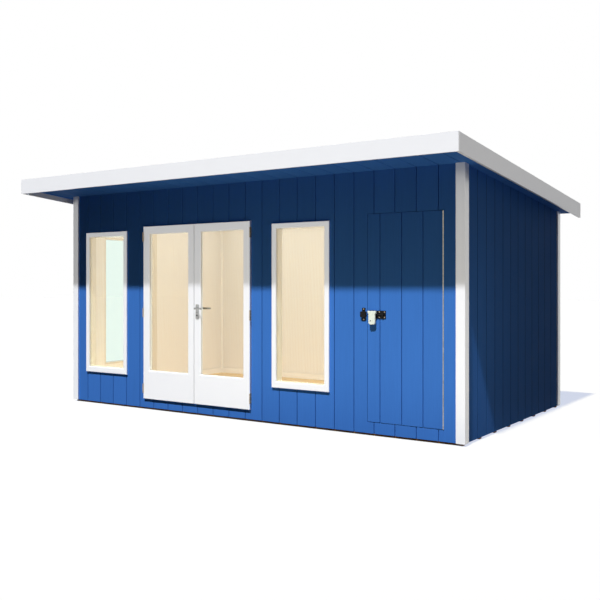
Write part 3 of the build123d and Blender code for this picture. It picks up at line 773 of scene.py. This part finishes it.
# Inside: pine-faced sheets on the walls and the ceiling, and floor boards
wall_low, wall_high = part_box("back_wall")
front_wall_low, front_wall_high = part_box("front_wall_left")
end_wall_low, end_wall_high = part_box("left_end_wall")
panel_thickness = wall_high.y - wall_low.y
wall_edges = joint_places(wall_low.x, wall_high.x, 0.0, sheet_width)
end_wall_edges = [end_wall_low.y, end_joint, end_wall_high.y]
lining_joint = (
    sheet_joint_gap, sheet_joint_chamfer, pine_sheet, pine_sheet, "pod", "pine_lining",
)


def lining_ends(y):
    """Bottom and top of the wall panels at a depth."""
    return floor_top, roof_under(y) + soffit_board


board_wall(
    "front_lining", lambda u, w, d: (u, front_wall_low.y + d, w), wall_edges,
    lambda u: lining_ends(front_wall_high.y), panel_thickness, front_windows + room_door_holes,
    *lining_joint, "front_wall_left", "front_wall_over_doors", "front_wall_centre",
    "front_wall_over_store_door", "front_wall_right",
)
board_wall(
    "back_lining", lambda u, w, d: (u, wall_high.y - d, w), wall_edges,
    lambda u: lining_ends(wall_high.y), panel_thickness, [],
    *lining_joint, "back_wall",
)
board_wall(
    "left_lining", lambda u, w, d: (end_wall_low.x + d, u, w), end_wall_edges,
    lining_ends, panel_thickness, end_windows,
    *lining_joint, "left_end_wall",
)
board_wall(
    "right_lining", lambda u, w, d: (-end_wall_low.x - d, u, w), end_wall_edges,
    lining_ends, panel_thickness, [],
    *lining_joint, "right_end_wall",
)
board_wall(
    "floor_boards", lambda u, w, d: (w, u, deck_low.z + d),
    joint_places(deck_low.y, deck_high.y, deck_low.y + floor_pitch, floor_pitch),
    lambda u: (deck_low.x, deck_high.x), deck_high.z - deck_low.z, [],
    floor_joint_gap, floor_joint_chamfer, pine_floor, pine_floor,
    "pod", "floor_boards", "floor_deck",
)
board_wall(
    "ceiling_boards", lambda u, w, d: (u, w, roof_under(w) + soffit_board - d),
    joint_places(room_low.x, room_high.x, 0.0, sheet_width),
    lambda u: (room_low.y, room_high.y), soffit_board, [],
    sheet_joint_gap, sheet_joint_chamfer, pine_ceiling, pine_ceiling,
    "pod", "pine_lining", "ceiling_lining",
)


# ---------------------------------------------------------------- strips inside


def skirting(name):
    """Skirting boards round the room, stopped at the doorways."""
    bm = bmesh.new()
    high, thick = skirting_height, skirting_thickness
    section = [
        (0, 0), (thick, 0), (thick, high - strip_chamfer), (thick - strip_chamfer, high), (0, high),
    ]
    inside_front, inside_back = room_low.y, room_high.y
    for x0, x1 in (
        (room_low.x, doors_low.x), (doors_high.x, store_low.x), (store_high.x, room_high.x),
    ):
        sweep(
            bm,
            [(x0, inside_front + d, floor_top + z) for d, z in section],
            [(x1, inside_front + d, floor_top + z) for d, z in section],
        )
    sweep(
        bm,
        [(room_low.x, inside_back - d, floor_top + z) for d, z in section],
        [(room_high.x, inside_back - d, floor_top + z) for d, z in section],
    )
    for side in (-1, 1):
        sweep(
            bm,
            [(side * (room_high.x - d), inside_front + thick, floor_top + z) for d, z in section],
            [(side * (room_high.x - d), inside_back - thick, floor_top + z) for d, z in section],
        )
    finish_mesh(name, bm, pine_skirting, "pod")


def corner_strips(name):
    """Chamfered cover strips in the room's four upright corners."""
    bm = bmesh.new()
    size = corner_strip
    section = [(0, 0), (size, 0), (size, strip_chamfer), (strip_chamfer, size), (0, size)]
    for x, x_in in ((room_low.x, 1), (room_high.x, -1)):
        for y, y_in in ((room_low.y, 1), (room_high.y, -1)):
            ring = [(x + x_in * a, y + y_in * b) for a, b in section]
            sweep(
                bm,
                [(px, py, floor_top + skirting_height) for px, py in ring],
                [(px, py, roof_under(py)) for px, py in ring],
            )
    finish_mesh(name, bm, pine_strip, "pod")


def joint_strips(name):
    """Flat cover strips with eased edges over the sheets' joints in the two end walls, in a darker
    pine that is painted shade.
    """
    bm = bmesh.new()
    thick = joint_strip_thickness
    for side in (-1, 1):
        near, far = end_joint - joint_strip_width / 2, end_joint + joint_strip_width / 2
        section = [
            (0, near), (thick - strip_ease, near), (thick, near + strip_ease),
            (thick, far - strip_ease), (thick - strip_ease, far), (0, far),
        ]
        ring = [(side * (room_high.x - d), y) for d, y in section]
        sweep(
            bm,
            [(px, py, floor_top + skirting_height) for px, py in ring],
            [(px, py, roof_under(py)) for px, py in ring],
        )
    finish_mesh(name, bm, pine_joint_strip_painted_shade, "pod")


skirting("skirting_boards")
corner_strips("corner_cover_strips")
joint_strips("joint_cover_strips")


# ---------------------------------------------------------------- screws and keyways


def cross_outline(reach, arm):
    """Outline of a cross recess."""
    return [
        (arm, reach), (-arm, reach), (-arm, arm), (-reach, arm), (-reach, -arm), (-arm, -arm),
        (-arm, -reach), (arm, -reach), (arm, -arm), (reach, -arm), (reach, arm), (arm, arm),
    ]


def keyway_outline(reach, arm):
    """Outline of a key's slot, wider at its top."""
    low, middle, high = (reach * share for share in keyway_step_shares)
    side = [(arm, -reach), (arm, low), (arm * 2, middle), (arm * 2, high), (arm, reach)]
    return side + [(-x, y) for x, y in side[::-1]]


def recessed_head(bm, centre, across, radius, rise, outline, depth):
    """A low domed disc on an upright face, with a recess of the given outline in its top."""
    centre, across, up = Vector(centre), Vector(across), Vector(upward)
    out = across.cross(up)
    turns = [2 * math.pi * i / head_sides for i in range(head_sides)]

    def point(a, b, height):
        return bm.verts.new(centre + across * a + up * b + out * height)

    def ring(size, height):
        return [point(size * math.cos(t), size * math.sin(t), height) for t in turns]

    rings = [ring(radius * size, rise * height) for size, height in dome_shares]
    for low, high in zip(rings, rings[1:]):
        for i in range(head_sides):
            j = (i + 1) % head_sides
            bm.faces.new((low[i], low[j], high[j], high[i]))
    lip = [point(a, b, rise) for a, b in outline]
    edges = [bm.edges.new((lip[i - 1], lip[i])) for i in range(len(lip))]
    edges += [bm.edges.get((rings[-1][i - 1], rings[-1][i])) for i in range(head_sides)]
    bmesh.ops.triangle_fill(bm, edges=edges, use_beauty=True)
    floor = [point(a, b, rise - depth) for a, b in outline]
    recess = [
        bm.faces.new((lip[i - 1], lip[i], floor[i], floor[i - 1])) for i in range(len(lip))
    ]
    # The recess and its floor take the near-black second finish: painted shade
    for face in [*recess, bm.faces.new(floor)]:
        face.material_index = 1


def heads(name, places, across, radius, rise, outline, depth, material, body, slot):
    """A set of recessed heads on one body: screws, or the face of a lock's keyway."""
    bm = bmesh.new()
    for centre in places:
        recessed_head(bm, centre, across, radius, rise, outline, depth)
    piece = finish_mesh(name, bm, material, body)
    piece.data.materials.append(hollow_shade)


# A head's own sideways axis, with which it faces the front or the room
facing_front, facing_room = (1, 0, 0), (-1, 0, 0)
upward = (0, 0, 1)
screw = (
    screw_radius, screw_rise,
    cross_outline(screw_cross_reach, screw_cross_arm), screw_cross_depth,
)
handle_screw = (
    handle_screw_radius, handle_screw_rise,
    cross_outline(handle_cross_reach, handle_cross_arm), handle_cross_depth,
)
keyway = (
    keyway_radius, keyway_rise,
    keyway_outline(keyway_slot_reach, keyway_slot_arm), keyway_slot_depth,
)
padlock_keyway = (
    padlock_keyway_radius, keyway_rise,
    keyway_outline(padlock_slot_reach, keyway_slot_arm), keyway_slot_depth,
)
keep_low, keep_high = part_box("lock_keep")
bolt_low, bolt_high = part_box("pad_bolt")
padlock_low, padlock_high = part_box("padlock")
plate_low, plate_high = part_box("handle_plates")
lever_low, lever_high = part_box("lever_handle")
keep_middle = (keep_low.x + keep_high.x) / 2
bolt_middle = (bolt_low.x + bolt_high.x) / 2
handle_middle = (plate_low.x + plate_high.x) / 2
handle_axis = (lever_low.z + lever_high.z) / 2
padlock_key_place = (
    padlock_low.x + (padlock_high.x - padlock_low.x) * padlock_key_across_share,
    padlock_low.y,
    padlock_low.z + (padlock_high.z - padlock_low.z) * padlock_key_up_share,
)

heads(
    "keep_screws",
    [
        (keep_middle, clad_low.y - keep_plate, z)
        for z in (keep_low.z + screw_margin, keep_high.z - screw_margin)
    ],
    facing_front, *screw, brass, "pod", "brass_hinges",
)
heads(
    "bolt_screws",
    [
        (x, clad_low.y - bolt_plate, z)
        for x in (bolt_high.x - screw_margin, bolt_middle + screw_margin * 2)
        for z in (bolt_low.z + screw_margin, bolt_high.z - screw_margin)
    ],
    facing_front, *screw, brass, "store_leaf", "brass_hinges",
)
heads(
    "padlock_keyway", [padlock_key_place],
    facing_front, *padlock_keyway, steel, "store_leaf", "satin_steel",
)
for side_name, face_y, facing in (
    ("outside", plate_low.y + cylinder_proud, facing_front),
    ("inside", plate_high.y - cylinder_proud, facing_room),
):
    heads(
        f"handle_screws_{side_name}",
        [
            (handle_middle, face_y, z)
            for z in (plate_low.z + screw_margin, plate_high.z - screw_margin)
        ],
        facing, *handle_screw, steel, "right_leaf", "satin_steel",
    )
for side_name, face_y, facing in (
    ("outside", plate_low.y, facing_front), ("inside", plate_high.y, facing_room),
):
    heads(
        f"handle_keyway_{side_name}", [(handle_middle, face_y, handle_axis - cylinder_drop)],
        facing, *keyway, gunmetal, "right_leaf", "black_iron",
    )


# ---------------------------------------------------------------- floor, light and camera


def seen_share(tree):
    """1 for what the camera sees, also in gloss or through glass, and 0 for light on the object."""
    light_path = tree.nodes.new("ShaderNodeLightPath")
    share = light_path.outputs["Is Camera Ray"]
    for kind in ("Is Glossy Ray", "Is Transmission Ray"):
        most = tree.nodes.new("ShaderNodeMath")
        most.operation = "MAXIMUM"
        tree.links.new(share, most.inputs[0])
        tree.links.new(light_path.outputs[kind], most.inputs[1])
        share = most.outputs["Value"]
    return share


def pale_floor():
    """Plain pale floor that keeps the shadow."""
    bm = bmesh.new()
    corners = [(-1, -1, 0), (1, -1, 0), (1, 1, 0), (-1, 1, 0)]
    bm.faces.new([bm.verts.new(Vector(corner) * floor_reach) for corner in corners])
    data = bpy.data.meshes.new("floor")
    bm.to_mesh(data)
    bm.free()
    floor = bpy.data.objects.new("floor", data)
    bpy.context.scene.collection.objects.link(floor)
    material = bpy.data.materials.new("pale_floor")
    material.use_nodes = True
    tree = material.node_tree
    tree.nodes.remove(tree.nodes["Principled BSDF"])
    diffuse = tree.nodes.new("ShaderNodeBsdfDiffuse")
    seen = seen_share(tree)
    tone = tree.nodes.new("ShaderNodeMix")
    tone.data_type = "RGBA"
    tone.inputs["A"].default_value = floor_tone
    tone.inputs["B"].default_value = floor_seen_tone
    tree.links.new(seen, tone.inputs["Factor"])
    tree.links.new(tone.outputs["Result"], diffuse.inputs["Color"])
    glow = tree.nodes.new("ShaderNodeEmission")
    glow.inputs["Color"].default_value = floor_glow
    tree.links.new(seen, glow.inputs["Strength"])
    both = tree.nodes.new("ShaderNodeAddShader")
    tree.links.new(diffuse.outputs["BSDF"], both.inputs[0])
    tree.links.new(glow.outputs["Emission"], both.inputs[1])
    tree.links.new(both.outputs["Shader"], tree.nodes["Material Output"].inputs["Surface"])
    data.materials.append(material)


def sky():
    """Even soft fill, white where it is seen."""
    world = bpy.data.worlds.new("studio")
    world.use_nodes = True
    bpy.context.scene.world = world
    tree = world.node_tree
    fill = tree.nodes["Background"]
    fill.inputs["Color"].default_value = sky_colour
    fill.inputs["Strength"].default_value = sky_fill
    backdrop = tree.nodes.new("ShaderNodeBackground")
    backdrop.inputs["Color"].default_value = backdrop_colour
    mix = tree.nodes.new("ShaderNodeMixShader")
    tree.links.new(seen_share(tree), mix.inputs["Fac"])
    tree.links.new(fill.outputs["Background"], mix.inputs[1])
    tree.links.new(backdrop.outputs["Background"], mix.inputs[2])
    tree.links.new(mix.outputs["Shader"], tree.nodes["World Output"].inputs["Surface"])


def lamp(name, kind, energy, place, direction):
    """A lamp at a place that shines in a direction."""
    data = bpy.data.lights.new(name, kind)
    data.energy = energy
    light = bpy.data.objects.new(name, data)
    light.location = place
    light.rotation_euler = Vector(direction).to_track_quat("-Z", "Y").to_euler()
    bpy.context.scene.collection.objects.link(light)
    return light


def soft_lamp(name, power, place, direction, size, colour=(1.0, 1.0, 1.0)):
    """A broad lamp that lights the object and doesn't show itself."""
    light = lamp(name, "AREA", power, place, direction)
    light.data.shape = "RECTANGLE"
    light.data.size, light.data.size_y = size
    light.data.color = colour
    light.visible_camera = False
    light.visible_glossy = False
    light.visible_transmission = False


pale_floor()
sky()
sun = lamp("sun", "SUN", sun_strength, sun_place, sun_travel)
sun.data.angle = sun_softness
soft_lamp(
    "front_fill", front_fill_power, front_fill_place, -Vector(front_fill_place), front_fill_size,
)
soft_lamp(
    "front_bounce", front_bounce_power, front_bounce_place, upward,
    front_bounce_size, front_bounce_colour,
)
soft_lamp(
    "side_fill", side_fill_power, side_fill_place, side_fill_travel, side_fill_size, side_colour,
)
soft_lamp(
    "corner_fill", corner_fill_power, corner_fill_place, corner_fill_travel,
    corner_fill_size, side_colour,
)
back_fill = lamp("back_fill", "SUN", back_fill_strength, back_fill_place, back_fill_travel)
back_fill.data.angle = back_fill_softness
back_fill.visible_glossy = False
back_fill.visible_transmission = False

# The room's light: one lamp under the ceiling, and one just over the floor between the skirtings
room_middle = (room_low.y + room_high.y) / 2
under_ceiling = (0, room_middle, roof_under(room_middle) - soffit_board * 2)
soft_lamp("room_lamp", room_lamp_power, under_ceiling, (0, -roof_slope, -1), room_lamp_size)
over_floor = (0, room_middle, floor_top + room_bounce_rise)
room_bounce_size = (
    room_high.x - room_low.x - skirting_thickness * 2,
    room_high.y - room_low.y - skirting_thickness * 2,
)
soft_lamp(
    "room_bounce", room_bounce_power, over_floor, upward, room_bounce_size, room_bounce_colour,
)

camera_data = bpy.data.cameras.new("camera")
camera_data.lens = camera_lens
camera_data.sensor_width = camera_sensor
camera_data.shift_y = camera_shift_up
camera = bpy.data.objects.new("camera", camera_data)
camera.location = camera_place
camera.rotation_euler = camera_turn
bpy.context.scene.collection.objects.link(camera)
bpy.context.scene.camera = camera
bpy.context.scene.view_settings.view_transform = "Standard"

bpy.context.view_layer.update()
